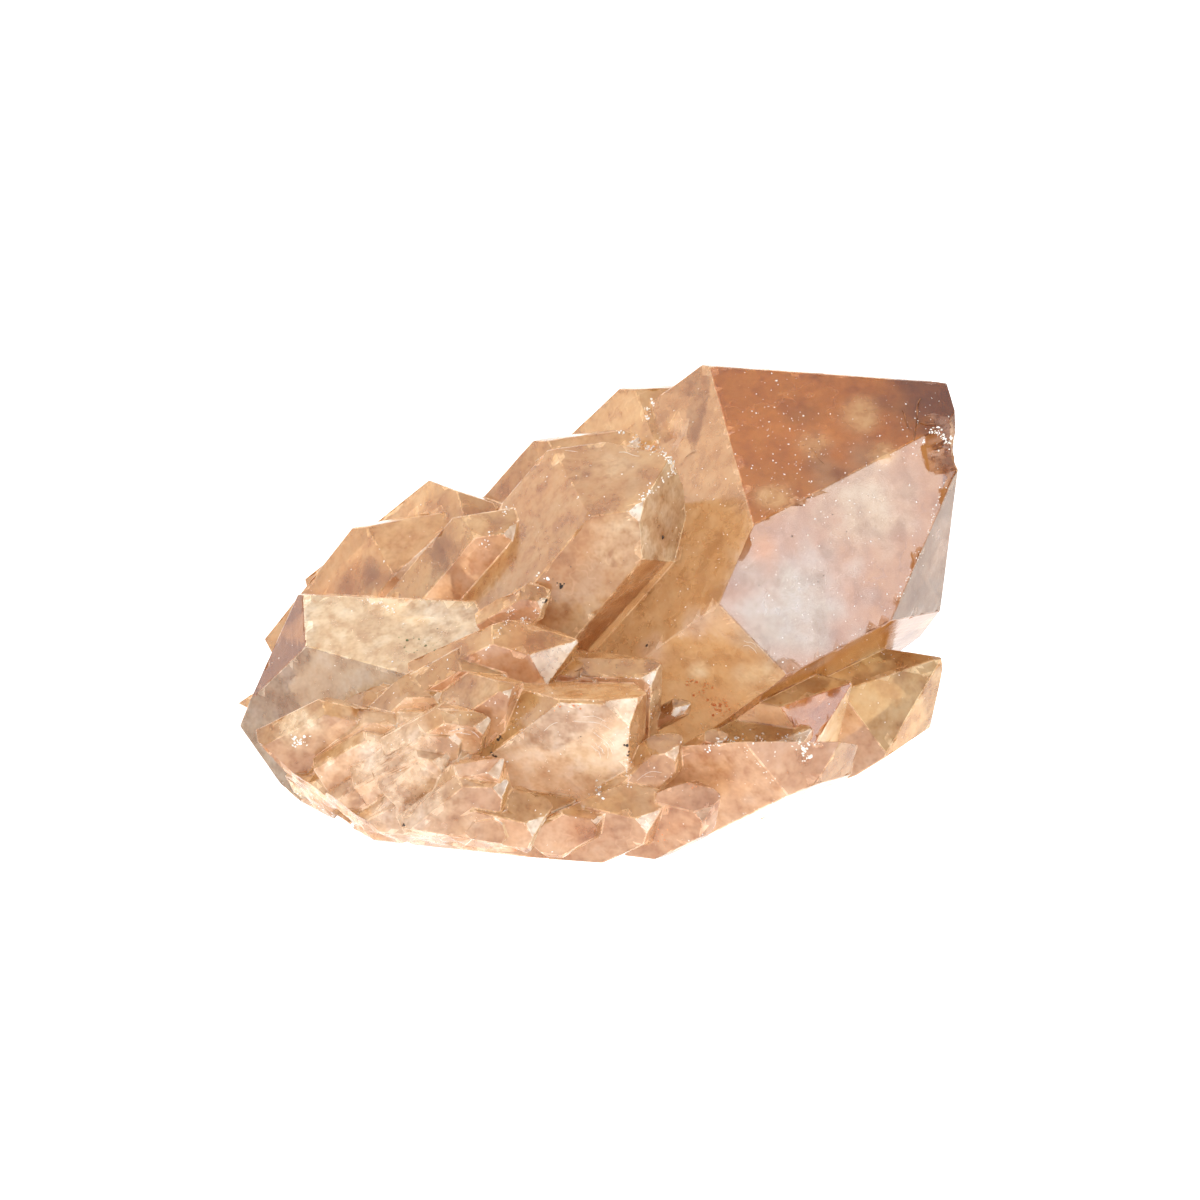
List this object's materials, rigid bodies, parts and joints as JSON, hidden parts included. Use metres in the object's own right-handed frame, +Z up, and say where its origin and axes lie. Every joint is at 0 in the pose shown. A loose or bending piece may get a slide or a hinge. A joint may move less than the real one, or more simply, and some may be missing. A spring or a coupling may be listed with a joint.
{
  "type": "quartz crystal cluster",
  "caption": "Hand-sized cluster of warm, see-through quartz crystals grown almost parallel and fused in one piece, with one large pointed crystal and a flat underside to rest on.",
  "frame": {"origin": "centre of the bounding box, on the plane that the cluster rests on", "axes": "+Z up from the resting plane, +X toward the large crystal's point and along the cluster's length, -Y toward the picture's viewer"},
  "size_m": [0.0686, 0.0494, 0.0386],
  "materials": {
    "citrine": "natural crystal faces, glossy on the caps, etched and veined in the body"
  },
  "bodies": {
    "root": {"citrine_cluster": "citrine"}
  },
  "joints": []
}
